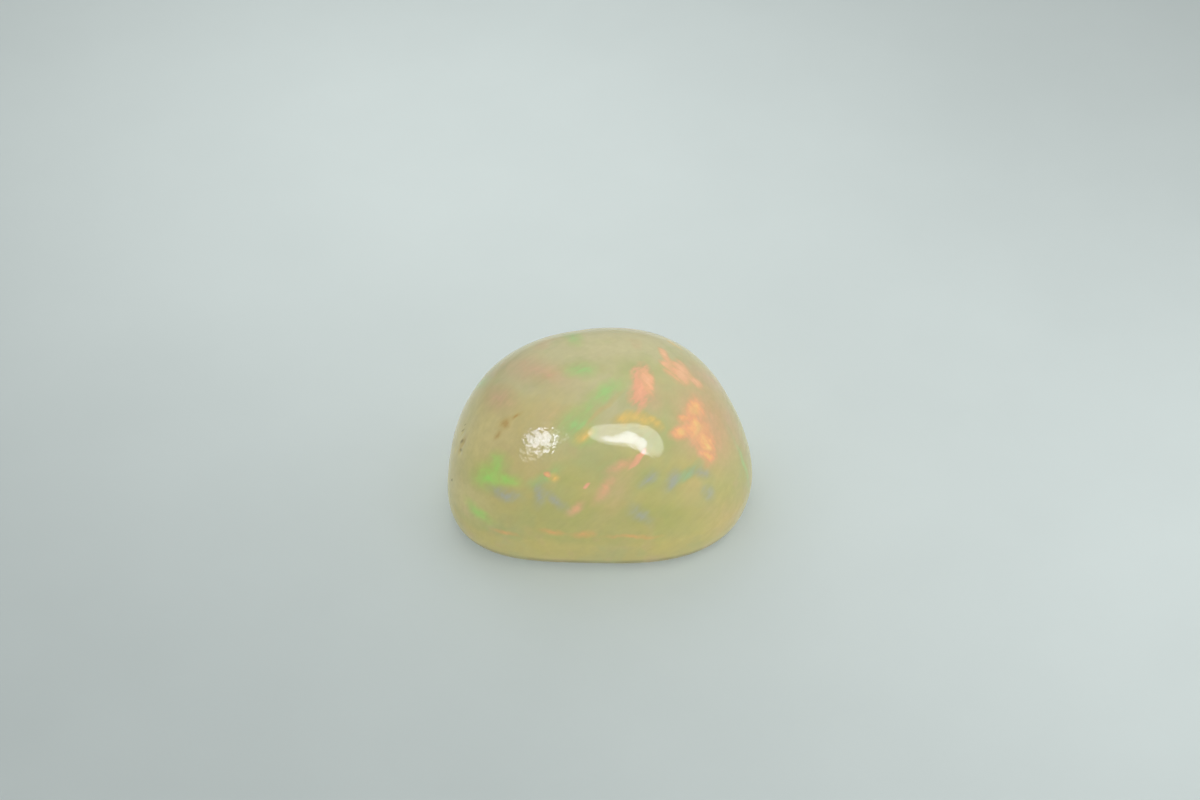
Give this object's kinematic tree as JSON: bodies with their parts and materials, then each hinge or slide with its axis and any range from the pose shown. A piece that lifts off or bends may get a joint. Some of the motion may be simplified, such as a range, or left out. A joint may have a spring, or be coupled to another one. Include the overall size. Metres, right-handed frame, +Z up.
{
  "type": "polished opal cabochon",
  "caption": "Polished milky opal cabochon, cut to a free oval outline with a high dome and a flat ground back to rest on or to be set by.",
  "frame": {"origin": "on the flat back, under the middle of the stone's box", "axes": "+X along the stone's length, to the right in the picture; +Y away from the camera; +Z up through the dome"},
  "size_m": [0.015, 0.0114, 0.009],
  "materials": {
    "opal": "polished"
  },
  "bodies": {
    "root": {"opal": "opal"}
  },
  "joints": []
}
